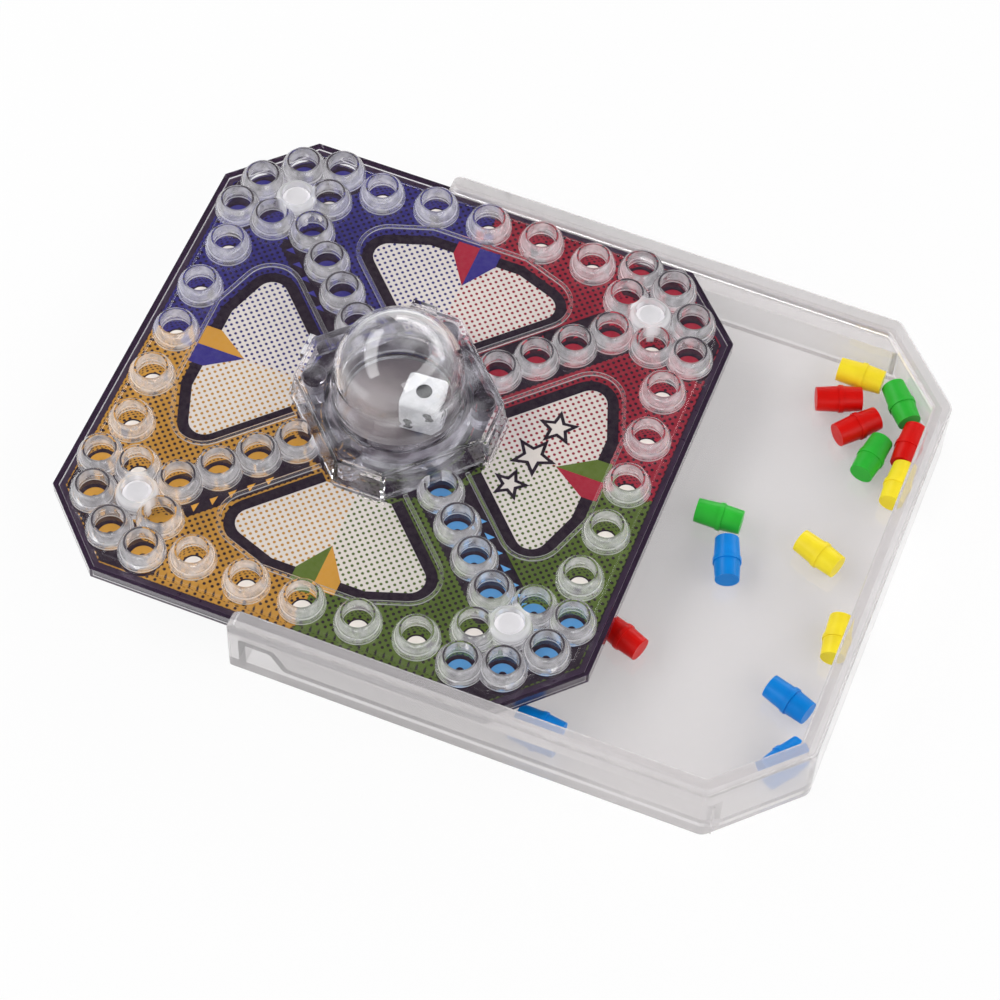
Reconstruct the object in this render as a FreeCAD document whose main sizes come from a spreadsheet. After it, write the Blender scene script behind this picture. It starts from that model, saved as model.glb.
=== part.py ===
import FreeCAD, Part
import Sketcher
import math
import os

# Clear travel board game with a pop-up dice dome: a square board unit slides in an open-ended
# storage tray. Lengths are millimetres. Origin: middle of the whole object at rest, on the table.
# +X is the way the tray is pulled out, +Y is the back, +Z is up.

doc = FreeCAD.newDocument("dome_board_game")
sheet = doc.addObject("Spreadsheet::Sheet", "dims")
Vec = FreeCAD.Vector
ROOT2 = math.sqrt(2.0)


class Size:
    """A number together with the spreadsheet formula that gives it."""

    def __init__(self, value, formula):
        self.v, self.f = float(value), formula

    def __add__(self, other):
        other = as_size(other)
        return Size(self.v + other.v, "(" + self.f + " + " + other.f + ")")

    def __radd__(self, other):
        return as_size(other) + self

    def __sub__(self, other):
        other = as_size(other)
        return Size(self.v - other.v, "(" + self.f + " - " + other.f + ")")

    def __rsub__(self, other):
        return as_size(other) - self

    def __mul__(self, other):
        other = as_size(other)
        return Size(self.v * other.v, "(" + self.f + " * " + other.f + ")")

    __rmul__ = __mul__

    def __truediv__(self, other):
        other = as_size(other)
        return Size(self.v / other.v, "(" + self.f + " / " + other.f + ")")

    def __neg__(self):
        return as_size(0) - self


def as_size(x):
    return x if isinstance(x, Size) else Size(x, repr(float(x)))


rows = [0]


def dim(name, value, note):
    """One driving size: name, number and note in the sheet, with an alias."""
    rows[0] += 1
    at = str(rows[0])
    sheet.set("A" + at, name)
    sheet.set("B" + at, str(value))
    sheet.set("C" + at, note)
    sheet.setAlias("B" + at, name)
    return Size(value, "dims." + name)


# ---------------------------------------------------------------- driving sizes
board_half = dim("board_half", 60.3, "half width of the board unit over its flange")
board_cut = dim("board_cut", 16.0, "leg of the board's cut corners")
pull_out = dim("pull_out", 47.0, "how far the tray stands pulled out at rest")
side_gap = dim("side_gap", 0.35, "board flange to tray side wall")
end_gap = dim("end_gap", 0.35, "board flange to tray end wall when closed")
corner_gap = dim("corner_gap", 0.54, "board flange to the tray's cut corners when closed")
run_gap = dim("run_gap", 0.3, "sliding and pressing clearance up and down")
fit_gap = dim("fit_gap", 0.1, "clearance of pieces fastened in one another")

tray_wall = dim("tray_wall", 2.0, "tray wall")
lip_thick = dim("lip_thick", 2.1, "top lip of the tray")
floor_lift = dim("floor_lift", 1.4, "table to underside of tray floor")
floor_thick = dim("floor_thick", 1.6, "tray floor")
lip_reach = dim("lip_reach", 2.05, "how far the top lip reaches in over the flange")
step_reach = dim("step_reach", 2.65, "how far the side steps stand in from the wall")
step_short = dim("step_short", 13.65, "side steps end this far before the end wall")
open_inset = dim("open_inset", 0.8, "tray walls stop this much short of the closed board")
sill_height = dim("sill_height", 8.3, "raised sill at the open end")
sill_inset = dim("sill_inset", 1.7, "sill set back from the ends of the side walls")
sill_flat = dim("sill_flat", 8.1, "flat top of the sill")
sill_slope = dim("sill_slope", 3.0, "length of the slope behind the sill")
sill_join = dim("sill_join", 3.0, "length of the sill's foot inside the floor")
tray_round = dim("tray_round", 3.0, "outer corner radius of the tray in plan")
lip_round = dim("lip_round", 0.8, "rounding of the tray's top edge")
end_round = dim("end_round", 2.5, "rounding of the top corners at the open end")

unit_low = dim("unit_low", 11.5, "table to underside of the board unit")
base_thick = dim("base_thick", 1.9, "base plate")
card_thick = dim("card_thick", 0.3, "printed card")
flange_skin = dim("flange_skin", 0.8, "clear top over the card at the flange")
plate_skin = dim("plate_skin", 2.2, "clear top over the card inside the flange")
flange_width = dim("flange_width", 3.5, "flange outside the raised plate")
skirt_wall = dim("skirt_wall", 1.1, "skirt round the base plate")
card_inset = dim("card_inset", 1.25, "base plate rim left bare round the card")
plate_round = dim("plate_round", 1.0, "rounding of the raised plate's edge")

ring_base = dim("ring_base", 5.13, "peg ring radius")
ring_foot = dim("ring_foot", 0.42, "straight foot of a peg ring, above it the ring is rounded")
ring_bore = dim("ring_bore", 3.23, "peg pocket radius")
ring_height = dim("ring_height", 4.03, "peg ring above the plate")
row_mid_in = dim("row_mid_in", 8.3, "side row, middle ring in from the board's edge")
row_next_in = dim("row_next_in", 8.36, "side row, second rings in from the board's edge")
row_end_in = dim("row_end_in", 9.43, "side row, end rings in from the board's edge")
row_share = dim("row_share", 0.2822, "side row pitch, as a share of half the straight edge")
turn_in = dim("turn_in", 17.46, "rings beside the diagonal, in from the cut corner")
turn_side = dim("turn_side", 6.73, "rings beside the diagonal, distance aside")
home_near_in = dim("home_near_in", 11.26, "outer home rings, in from the cut corner")
home_near_side = dim("home_near_side", 12.5, "outer home rings, distance aside")
home_far_in = dim("home_far_in", 6.96, "inner home rings, in from the cut corner")
home_far_side = dim("home_far_side", 4.85, "inner home rings, distance aside")
finish_in = dim("finish_in", 24.14, "outermost finish ring, in from the cut corner")
finish_clear = dim("finish_clear", 3.01, "innermost finish ring, out from the housing's long face")
post_in = dim("post_in", 14.96, "corner pin, in from the cut corner")
pin_rise = dim("pin_rise", 3.0, "corner pin above the plate")
pin_shank = dim("pin_shank", 2.2, "corner pin shank radius in the base plate")

wedge_side = dim("wedge_side", 7.1, "wedge rib from the diagonal")
wedge_in = dim("wedge_in", 13.2, "wedge rib in from the board's edge")
wedge_bend = dim("wedge_bend", 11.0, "wedge rib straight to this distance aside")
wedge_slant = dim("wedge_slant", 0.354, "slant of the wedge rib's ends")
wedge_round = dim("wedge_round", 6.8, "wedge rib corner radius")
rib_width = dim("rib_width", 0.9, "wedge rib width")
rib_rise = dim("rib_rise", 0.5, "wedge rib height")

dome_radius = dim("dome_radius", 14.3, "dome wall outside, at its foot")
dome_lean = dim("dome_lean", 0.4, "dome wall leans in by this up to its shoulder")
dome_wall = dim("dome_wall", 1.2, "dome wall")
dome_straight = dim("dome_straight", 14.0, "plate top to the dome's shoulder")
dome_flange_wide = dim("dome_flange_wide", 1.3, "dome flange, out from the wall")
dome_flange_thick = dim("dome_flange_thick", 1.5, "dome flange")
press = dim("press", 1.6, "travel of the dome")
well_gap = dim("well_gap", 0.9, "dome flange to the opening in the top plate and card")
cup_gap = dim("cup_gap", 0.4, "dome flange to the wall of the cup under it")
cup_wall = dim("cup_wall", 1.5, "cup wall")
cup_floor = dim("cup_floor", 1.2, "cup floor")
cup_drop = dim("cup_drop", 1.5, "cup below the base plate")
disc_gap = dim("disc_gap", 0.6, "die floor, in from the dome flange")
pad_gap = dim("pad_gap", 0.5, "raised pad of the die floor, in from the dome wall")
floor_disc_thick = dim("floor_disc_thick", 0.9, "die floor rim")
floor_pad_rise = dim("floor_pad_rise", 1.3, "pad above the rim")
hub_radius = dim("hub_radius", 4.0, "hub under the die floor")
spring_radius = dim("spring_radius", 12.0, "snap spring radius")
spring_thick = dim("spring_thick", 0.4, "snap spring")

house_flat = dim("house_flat", 22.9, "housing: centre to its short faces")
house_long = dim("house_long", 20.2, "housing: centre to its long faces")
house_height = dim("house_height", 8.0, "housing above the plate")
house_wall = dim("house_wall", 1.5, "housing walls and roof")
house_draft = dim("house_draft", 7.0, "housing side draft in degrees")
house_round = dim("house_round", 2.0, "housing corner radius in plan")
house_edge = dim("house_edge", 0.8, "rounding of the housing's top edge")
house_skirt = dim("house_skirt", 0.4, "foot rim of the housing, outward")
house_skirt_high = dim("house_skirt_high", 1.0, "foot rim height")
tube_wall = dim("tube_wall", 1.3, "guide tube round the dome")
boss_radius = dim("boss_radius", 2.65, "round bosses of the housing")
boss_out = dim("boss_out", 17.7, "boss along its axis")
boss_side = dim("boss_side", 3.7, "boss beside its axis")
boss_rise = dim("boss_rise", 0.5, "boss above the roof")
clip_width = dim("clip_width", 5.5, "clip width")
clip_thick = dim("clip_thick", 1.4, "clip thickness")
clip_side = dim("clip_side", 3.25, "clip middle beside its axis")
clip_height = dim("clip_height", 7.5, "clip above the plate")
clip_hook = dim("clip_hook", 0.7, "clip hook under the base plate")
clip_hook_high = dim("clip_hook_high", 0.9, "clip hook height")

die_edge = dim("die_edge", 9.0, "die edge length")
die_round = dim("die_round", 1.1, "die edge rounding")
die_x = dim("die_x", 5.9, "die from the board centre")
die_y = dim("die_y", -0.1, "die from the board centre")
die_turn = dim("die_turn", 4.0, "die turned, degrees")

peg_length = dim("peg_length", 10.0, "peg length")
peg_radius = dim("peg_radius", 2.85, "peg radius beside the collar")
peg_tip = dim("peg_tip", 2.6, "peg radius at its ends")
peg_collar = dim("peg_collar", 3.08, "peg collar radius")
peg_collar_wide = dim("peg_collar_wide", 1.0, "peg collar width")
peg_collar_off = dim("peg_collar_off", 0.35, "peg collar from the middle")

# ---------------------------------------------------------------- derived places
shift = (pull_out + end_gap + tray_wall) / 2
board_x = -shift
closed_x = board_x + pull_out
floor_top = floor_lift + floor_thick
base_top = unit_low + base_thick
card_top = base_top + card_thick
plate_under = card_top + fit_gap
flange_top = plate_under + flange_skin
plate_top = plate_under + plate_skin
ring_level = plate_top + ring_height
step_top = unit_low - run_gap
lip_under = flange_top + run_gap
tray_height = lip_under + lip_thick
board_diag = (board_half * 2 - board_cut) / ROOT2
row_mid = board_half - row_mid_in
row_next = board_half - row_next_in
row_end = board_half - row_end_in
row_pitch = (board_half - board_cut) * row_share
turn_out = board_diag - turn_in
home_near = board_diag - home_near_in
home_far = board_diag - home_far_in
finish_far = board_diag - finish_in
finish_pitch = (finish_far - house_long - finish_clear) / 3
post_out = board_diag - post_in
wedge_far = board_half - wedge_in
cup_low = unit_low - cup_drop
cup_inside = cup_low + cup_floor
dome_low = plate_top - run_gap
dome_flange_top = dome_low + dome_flange_thick
tube_low = dome_flange_top + run_gap
house_top = plate_top + house_height
disc_top = dome_low - fit_gap
disc_low = disc_top - floor_disc_thick
die_low = disc_top + floor_pad_rise + 0.25
spring_rise = press + spring_thick
dome_shoulder = dome_radius - dome_lean
dome_flange = dome_radius + dome_flange_wide
well_radius = dome_flange + well_gap
cup_radius = dome_flange + cup_gap
floor_disc = dome_flange - disc_gap
floor_pad = dome_radius - dome_wall - pad_gap


# ---------------------------------------------------------------- helpers
def new_body(name, x=None, y=None, z=None):
    """A body whose placement follows the sheet."""
    body = doc.addObject("PartDesign::Body", name)
    body.Label = name
    place = [as_size(0 if p is None else p) for p in (x, y, z)]
    body.Placement.Base = Vec(*[p.v for p in place])
    for axis, p in zip("xyz", place):
        body.setExpression(".Placement.Base." + axis, p.f)
    return body


def origin_of(body, role):
    return [o for o in body.Origin.OriginFeatures if o.Role == role][0]


def sketch_on(body, name, plane="XY_Plane", lift=None):
    sk = body.newObject("Sketcher::SketchObject", name)
    sk.AttachmentSupport = [(origin_of(body, plane), "")]
    sk.MapMode = "FlatFace"
    if lift is not None:
        lift = as_size(lift)
        sk.AttachmentOffset = FreeCAD.Placement(Vec(0, 0, lift.v), FreeCAD.Rotation())
        sk.setExpression(".AttachmentOffset.Base.z", lift.f)
    return sk


def pin(sk, geo, end, x, y):
    """Holds a sketch point at x, y from the sketch origin."""
    for kind, s, axis in (("DistanceX", as_size(x), -2), ("DistanceY", as_size(y), -1)):
        if abs(s.v) < 1e-7:
            sk.addConstraint(Sketcher.Constraint("PointOnObject", geo, end, axis))
        elif s.v > 0:
            k = sk.addConstraint(Sketcher.Constraint(kind, -1, 1, geo, end, s.v))
            sk.setExpression("Constraints[%d]" % k, s.f)
        else:
            k = sk.addConstraint(Sketcher.Constraint(kind, geo, end, -1, 1, -s.v))
            sk.setExpression("Constraints[%d]" % k, "0 - " + s.f)


def circle(sk, x, y, r):
    x, y, r = as_size(x), as_size(y), as_size(r)
    g = sk.addGeometry(Part.Circle(Vec(x.v, y.v, 0), Vec(0, 0, 1), r.v), False)
    pin(sk, g, 3, x, y)
    k = sk.addConstraint(Sketcher.Constraint("Radius", g, r.v))
    sk.setExpression("Constraints[%d]" % k, r.f)


def loop(sk, corners):
    """Closed outline through corners (x, y) or (x, y, radius)."""
    pts = [(as_size(c[0]), as_size(c[1]), as_size(c[2]) if len(c) > 2 else None) for c in corners]
    n = len(pts)
    flat = [Vec(x.v, y.v, 0) for x, y, r in pts]
    starts, ends, arcs = [None] * n, [None] * n, [None] * n
    for i, (x, y, r) in enumerate(pts):
        a, b, c = flat[i - 1], flat[i], flat[(i + 1) % n]
        if r is None:
            ends[i - 1], starts[i] = b, b
            continue
        back, ahead = (a - b).normalize(), (c - b).normalize()
        half = back.getAngle(ahead) / 2
        reach = r.v / math.tan(half)
        ends[i - 1], starts[i] = b + back * reach, b + ahead * reach
        centre = b + (back + ahead).normalize() * (r.v / math.sin(half))
        spokes = [p - centre for p in (ends[i - 1], starts[i])]
        onward = spokes[0].cross(spokes[1]).z > 0
        turn = [math.atan2(s.y, s.x) for s in (spokes if onward else spokes[::-1])]
        if turn[1] < turn[0]:
            turn[1] += 2 * math.pi
        round_off = Part.Circle(centre, Vec(0, 0, 1), r.v)
        arcs[i] = (Part.ArcOfCircle(round_off, turn[0], turn[1]), 1 if onward else 2)
    lines = [sk.addGeometry(Part.LineSegment(starts[i], ends[i]), False) for i in range(n)]
    for i, (x, y, r) in enumerate(pts):
        before, after = lines[i - 1], lines[i]
        if r is None:
            sk.addConstraint(Sketcher.Constraint("Coincident", before, 2, after, 1))
            pin(sk, after, 1, x, y)
            continue
        g = sk.addGeometry(arcs[i][0], False)
        first = arcs[i][1]
        sk.addConstraint(Sketcher.Constraint("Tangent", before, 2, g, first))
        sk.addConstraint(Sketcher.Constraint("Tangent", g, 3 - first, after, 1))
        k = sk.addConstraint(Sketcher.Constraint("Radius", g, r.v))
        sk.setExpression("Constraints[%d]" % k, r.f)
        tip = sk.addGeometry(Part.Point(flat[i]), True)
        pin(sk, tip, 1, x, y)
        sk.addConstraint(Sketcher.Constraint("PointOnObject", tip, 1, before))
        sk.addConstraint(Sketcher.Constraint("PointOnObject", tip, 1, after))


def feature(body, kind, sk, length, up=True, draft=None):
    """Pad or Pocket of a sketch along or against +Z of its plane."""
    length = as_size(length)
    f = body.newObject("PartDesign::" + kind, sk.Name + "_" + kind.lower())
    f.Profile = sk
    f.Length = length.v
    f.setExpression("Length", length.f)
    f.Reversed = (not up) if kind == "Pad" else up
    if draft is not None:
        f.TaperAngle = draft.v
        f.setExpression("TaperAngle", draft.f)
    sk.Visibility = False
    return f


def pad(body, sk, length, up=True, draft=None):
    return feature(body, "Pad", sk, length, up, draft)


def pocket(body, sk, length, up=True, draft=None):
    return feature(body, "Pocket", sk, length, up, draft)


def turned(body, sk, name):
    """Revolves a profile drawn on the XZ plane about the body's Z axis."""
    f = body.newObject("PartDesign::Revolution", name)
    f.Profile = sk
    f.ReferenceAxis = (sk, ["V_Axis"])
    f.Angle = 360.0
    sk.Visibility = False
    return f


def primitive(body, kind, name, x, y, z, **sizes):
    """An additive cone or cylinder standing on the XY plane."""
    f = body.newObject("PartDesign::Additive" + kind, name)
    f.AttachmentSupport = [(origin_of(body, "XY_Plane"), "")]
    f.MapMode = "FlatFace"
    f.AttachmentOffset = FreeCAD.Placement(Vec(x.v, y.v, z.v), FreeCAD.Rotation())
    for axis, s in zip("xyz", (x, y, z)):
        f.setExpression(".AttachmentOffset.Base." + axis, s.f)
    for prop, s in sizes.items():
        setattr(f, prop, s.v)
        f.setExpression(prop, s.f)
    return f


def repeated(body, features, times, name):
    """Repeats features evenly round the body's Z axis."""
    f = body.newObject("PartDesign::PolarPattern", name)
    f.Originals = features
    f.Axis = (origin_of(body, "Z_Axis"), [""])
    f.Angle = 360.0
    f.Occurrences = times
    body.Tip = f
    return f


def rounded(body, name, radius, wanted):
    """Fillets the edges for which wanted(edge) holds."""
    doc.recompute()
    base = body.Tip
    names = ["Edge%d" % (i + 1) for i, e in enumerate(base.Shape.Edges) if wanted(e)]
    f = body.newObject("PartDesign::Fillet", name)
    f.Base = (base, names)
    f.Radius = radius.v
    f.setExpression("Radius", radius.f)
    return f


def octagon(half, diag):
    """Square of half width half whose corners are cut at distance diag from the centre."""
    leg = diag * ROOT2 - half
    near = [(half, leg), (leg, half), (-leg, half), (-half, leg)]
    return near + [(-x, -y) for x, y in near]


def out_and_aside(out, aside):
    """Point on the front right diagonal: out along it and aside counter-clockwise."""
    return (out + aside) / ROOT2, (aside - out) / ROOT2


# ---------------------------------------------------------------- tray
inner_half = board_half + side_gap
inner_x = closed_x + board_half + end_gap
left_x = closed_x - board_half + open_inset
corner_sum = (board_diag + corner_gap) * ROOT2


def tray_line(off, radius, tail=None):
    """Corners of the tray's plan outline, off outside its inner wall faces, open end first."""
    half, end = inner_half + off, inner_x + off
    total = corner_sum + off * ROOT2
    cut_x, cut_y = closed_x + total - half, total - (end - closed_x)
    start = left_x if tail is None else tail
    return [(start, -half), (cut_x, -half, radius), (end, -cut_y, radius),
            (end, cut_y, radius), (cut_x, half, radius), (start, half)]


def tray_strip(outer, inner):
    """Open strip between two tray outlines."""
    return outer + inner[::-1]


tray = new_body("tray")
inner_round = tray_round - tray_wall

sk = sketch_on(tray, "tray_wall_plan")
loop(sk, tray_strip(tray_line(tray_wall, tray_round), tray_line(as_size(0), inner_round)))
pad(tray, sk, tray_height)

for name, sign in (("front", -1), ("back", 1)):
    sk = sketch_on(tray, "tray_step_" + name)
    near, far = (inner_half - step_reach) * sign, (inner_half + tray_wall / 2) * sign
    stop = inner_x - step_short
    loop(sk, [(left_x, near), (stop, near), (stop, far), (left_x, far)])
    pad(tray, sk, step_top)

sk = sketch_on(tray, "tray_lip_plan", lift=lip_under)
loop(sk, tray_strip(tray_line(tray_wall / 2, tray_round - tray_wall / 2),
                    tray_line(-lip_reach, inner_round)))
pad(tray, sk, tray_height - lip_under)

sill_back = left_x + sill_inset + sill_flat
slope_end = sill_back + sill_slope
sk = sketch_on(tray, "tray_floor_plan", lift=floor_lift)
loop(sk, tray_line(tray_wall / 2, tray_round - tray_wall / 2, tail=slope_end + 1))
pad(tray, sk, floor_thick)

face_x = left_x + sill_inset
under = sill_height - floor_thick
sill_half = inner_half - step_reach / 2
sk = sketch_on(tray, "tray_sill_profile", plane="XZ_Plane", lift=-sill_half)
bend = as_size(1.4)
loop(sk, [(face_x, 0), (face_x, sill_height, floor_thick / 2), (sill_back, sill_height, bend),
          (slope_end, floor_top, bend), (slope_end + sill_join, floor_top),
          (slope_end + sill_join, floor_lift),
          (slope_end - floor_thick * 0.6, floor_lift, bend),
          (sill_back - floor_thick * 0.6, under, bend), (face_x + floor_thick, under),
          (face_x + floor_thick, 0)])
pad(tray, sk, sill_half * 2)
doc.recompute()


def at_open_end(edge):
    box = edge.BoundBox
    return box.XMax < left_x.v + 0.01 and box.ZMin > tray_height.v - 0.01 and box.YLength > 1


def on_tray_top(edge):
    box = edge.BoundBox
    return box.ZMin > tray_height.v - 0.01 and box.XMax > left_x.v + 0.01


rounded(tray, "tray_end_rounding", end_round, at_open_end)
rounded(tray, "tray_lip_rounding", lip_round, on_tray_top)

# ---------------------------------------------------------------- board unit
base_half = board_half - skirt_wall - 0.15
base_diag = board_diag - skirt_wall - 0.15
plate_half = board_half - flange_width
plate_diag = board_diag - flange_width
slot_x = house_flat - clip_thick / 2
slot_half = clip_width / 2 + fit_gap
slot_deep = clip_thick / 2 + fit_gap


def clip_plans(sk, near, far, half):
    """Outlines of the right and the front clip, mirror images about the diagonal between them."""
    right = [(near, -clip_side - half), (far, -clip_side - half),
             (far, half - clip_side), (near, half - clip_side)]
    loop(sk, right)
    loop(sk, [(-y, -x) for x, y in right])


def clip_slots(body, low, height, name):
    """Slots for the four clips of the housing."""
    s = sketch_on(body, name, lift=low)
    clip_plans(s, slot_x - slot_deep, slot_x + slot_deep, slot_half)
    repeated(body, [pocket(body, s, height)], 2, name + "_all")


def pin_holes(body, low, height, radius, name):
    s = sketch_on(body, name, lift=low)
    for k in range(4):
        x, y = out_and_aside(post_out, as_size(0))
        for _ in range(k):
            x, y = -y, x
        circle(s, x, y, radius)
    pocket(body, s, height)


base = new_body("base_plate", board_x)
sk = sketch_on(base, "base_plan", lift=unit_low)
loop(sk, octagon(base_half, base_diag))
pad(base, sk, base_thick)
sk = sketch_on(base, "cup_plan", lift=cup_low)
circle(sk, 0, 0, cup_radius + cup_wall)
pad(base, sk, cup_drop + base_thick / 2)
sk = sketch_on(base, "cup_inside_plan", lift=cup_inside)
circle(sk, 0, 0, cup_radius)
pocket(base, sk, base_top - cup_inside)
pin_holes(base, unit_low, base_thick, pin_shank + fit_gap / 2, "base_pin_holes")
clip_slots(base, unit_low, base_thick, "base_clip_slots")

card = new_body("board_card", board_x)
sk = sketch_on(card, "card_plan", lift=base_top)
loop(sk, octagon(base_half - card_inset, base_diag - card_inset))
circle(sk, 0, 0, well_radius)
pad(card, sk, card_thick)
pin_holes(card, base_top, card_thick, pin_shank + fit_gap, "card_pin_holes")
clip_slots(card, base_top, card_thick, "card_clip_slots")

# the clear top: a moulded blank, the rings fused on, then the pockets and the housing's seat cut
blank = new_body("top_blank", board_x)
sk = sketch_on(blank, "flange_plan", lift=unit_low)
loop(sk, octagon(board_half, board_diag))
pad(blank, sk, flange_top - unit_low)
sk = sketch_on(blank, "plate_plan", lift=flange_top - flange_skin / 2)
loop(sk, octagon(plate_half, plate_diag))
pad(blank, sk, plate_top - flange_top + flange_skin / 2)
rounded(blank, "plate_rounding", plate_round, lambda e: e.BoundBox.ZMin > plate_top.v - 0.01)

# wedge rib: an open strip round each printed window, from housing to housing
start_out = house_long + 0.5


def wedge_line(off):
    """Corners of the right hand wedge rib, off outside its middle line."""
    side, far = wedge_side - off, wedge_far + off
    tip_x = (far + wedge_slant * (side * ROOT2 + wedge_bend)) / (wedge_slant + 1)
    tip_y = tip_x - side * ROOT2
    from_x, from_y = (start_out + side) / ROOT2, (start_out - side) / ROOT2
    return [(from_x, -from_y), (tip_x, -tip_y, wedge_round + off), (far, -wedge_bend),
            (far, wedge_bend), (tip_x, tip_y, wedge_round + off), (from_x, from_y)]


sk = sketch_on(blank, "wedge_rib_plan", lift=plate_top - plate_skin / 4)
loop(sk, wedge_line(rib_width / 2) + wedge_line(-rib_width / 2)[::-1])
repeated(blank, [pad(blank, sk, plate_skin / 4 + rib_rise)], 4, "all_wedge_ribs")
sk = sketch_on(blank, "skirt_inside_plan", lift=unit_low)
loop(sk, octagon(board_half - skirt_wall, board_diag - skirt_wall))
pocket(blank, sk, plate_under - unit_low)
sk = sketch_on(blank, "well_plan", lift=plate_under)
circle(sk, 0, 0, well_radius)
pocket(blank, sk, plate_top - plate_under + 0.5)
clip_slots(blank, plate_under, plate_skin, "top_clip_slots")

# peg rings: the places in one quarter of the board, then turned to the other three
side_row = [(row_mid, as_size(0))]
for k, out in ((1, row_next), (2, row_end)):
    side_row += [(out, row_pitch * k), (out, -row_pitch * k)]
corner_rings = [(turn_out, -turn_side), (turn_out, turn_side), (home_near, -home_near_side),
                (home_near, home_near_side), (home_far, -home_far_side), (home_far, home_far_side)]
finish_row = [(finish_far - finish_pitch * k, as_size(0)) for k in range(4)]
corner_places = corner_rings + finish_row + [(post_out, as_size(0))]
quarter_places = side_row + [out_and_aside(*p) for p in corner_places]


def solid(kind, name, x, y, z, **sizes):
    """A plain cylinder or ball section standing on the board at x, y."""
    f = doc.addObject("Part::" + kind, name)
    place = (board_x + x, as_size(y), as_size(z))
    f.Placement.Base = Vec(*[p.v for p in place])
    for axis, p in zip("xyz", place):
        f.setExpression(".Placement.Base." + axis, p.f)
    for prop, s in sizes.items():
        setattr(f, prop, s.v)
        f.setExpression(prop, s.f)
    return f


rings, bores = [], []
foot = plate_under + flange_skin / 2
waist = plate_top + ring_foot
sine = (ring_level - waist) / ring_base
crown = Size(math.degrees(math.asin(sine.v)), "asin(" + sine.f + ")")
for k, (x, y) in enumerate(quarter_places):
    for turn in range(4):
        tag = "%d_%d" % (k, turn)
        rings.append(solid("Cylinder", "ring_foot_" + tag, x, y, foot,
                           Radius=ring_base, Height=waist - foot))
        rings.append(solid("Sphere", "ring_crown_" + tag, x, y, waist,
                           Radius=ring_base, Angle1=as_size(0), Angle2=crown))
        bores.append(solid("Cylinder", "peg_pocket_" + tag, x, y, plate_under - 1,
                           Radius=ring_bore, Height=ring_level - plate_under + 2))
        x, y = -y, x

seat = new_body("housing_seat", board_x)
sk = sketch_on(seat, "seat_plan", lift=plate_top)
loop(sk, octagon(house_flat + house_skirt + fit_gap, house_long + fit_gap))
pad(seat, sk, house_height)

ringed = doc.addObject("Part::MultiFuse", "top_with_rings")
ringed.Shapes = [blank] + rings
cuts = doc.addObject("Part::Compound", "pocket_tools")
cuts.Links = bores + [seat]
top = doc.addObject("Part::Cut", "top_plate")
top.Label = "top_plate"
top.Base, top.Tool = ringed, cuts

# ---------------------------------------------------------------- corner pins
pin_head = ring_bore - fit_gap
cap_high = pin_head / 4


def corner_pin(name, x, y):
    """One of the four pins that fasten the clear top to the base plate."""
    body = new_body(name, board_x + x, y)
    zero = as_size(0)
    primitive(body, "Cylinder", name + "_shank", zero, zero, unit_low,
              Radius=pin_shank, Height=base_thick + card_thick)
    primitive(body, "Cylinder", name + "_head", zero, zero, card_top,
              Radius=pin_head, Height=plate_top - card_top + pin_rise - cap_high)
    primitive(body, "Cone", name + "_cap", zero, zero, plate_top + pin_rise - cap_high,
              Radius1=pin_head, Radius2=pin_head * 0.72, Height=cap_high)
    return body


x, y = out_and_aside(post_out, as_size(0))
pins = []
for corner in ("front_right", "back_right", "back_left", "front_left"):
    pins.append(corner_pin("corner_pin_" + corner, x, y))
    x, y = -y, x

# ---------------------------------------------------------------- dome housing
housing = new_body("dome_housing", board_x)
sk = sketch_on(housing, "house_plan", lift=plate_top)
loop(sk, [(x, y, house_round) for x, y in octagon(house_flat, house_long)])
pad(housing, sk, house_height, draft=-house_draft)
rounded(housing, "house_top_rounding", house_edge, lambda e: e.BoundBox.ZMin > house_top.v - 0.01)
sk = sketch_on(housing, "house_foot_plan", lift=plate_top)
loop(sk, [(x, y, house_round) for x, y in octagon(house_flat + house_skirt, house_long)])
pad(housing, sk, house_skirt_high)


def boss_plans(name):
    """A sketch of the right and the front boss, mirror images about the diagonal between them."""
    s = sketch_on(housing, name, lift=plate_top)
    circle(s, boss_out, boss_side, boss_radius)
    circle(s, -boss_side, -boss_out, boss_radius)
    return s


bosses = pad(housing, boss_plans("boss_plan"), house_height + boss_rise)
repeated(housing, [bosses], 2, "all_bosses")
sk = sketch_on(housing, "house_inside_plan", lift=plate_top)
loop(sk, octagon(house_flat - house_wall, house_long - house_wall))
pocket(housing, sk, house_height - house_wall, draft=-house_draft)
sk = sketch_on(housing, "tube_plan", lift=tube_low)
circle(sk, 0, 0, dome_radius + run_gap + tube_wall)
pad(housing, sk, house_top - tube_low)
bosses = pad(housing, boss_plans("boss_core_plan"), house_height - house_wall)
repeated(housing, [bosses], 2, "all_boss_cores")
sk = sketch_on(housing, "well_clear_plan", lift=plate_top)
circle(sk, 0, 0, dome_flange + run_gap)
pocket(housing, sk, tube_low - plate_top)
sk = sketch_on(housing, "tube_bore_plan", lift=tube_low)
circle(sk, 0, 0, dome_radius + run_gap)
pocket(housing, sk, house_top - tube_low + 1)
hook_low = unit_low - fit_gap - clip_hook_high
sk = sketch_on(housing, "clip_plan", lift=hook_low)
clip_plans(sk, slot_x - clip_thick / 2, slot_x + clip_thick / 2, clip_width / 2)
clips = pad(housing, sk, plate_top + clip_height - hook_low)
sk = sketch_on(housing, "hook_plan", lift=hook_low)
clip_plans(sk, slot_x, slot_x + clip_thick / 2 + clip_hook, clip_width / 2)
hooks = pad(housing, sk, clip_hook_high)
repeated(housing, [clips, hooks], 2, "all_clips")

# ---------------------------------------------------------------- dome, die floor, spring
dome = new_body("pop_dome", board_x)
shoulder = plate_top + dome_straight
wall_in = dome_radius - dome_wall
round_in = dome_shoulder - dome_wall
sk = sketch_on(dome, "dome_profile", plane="XZ_Plane")


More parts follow.
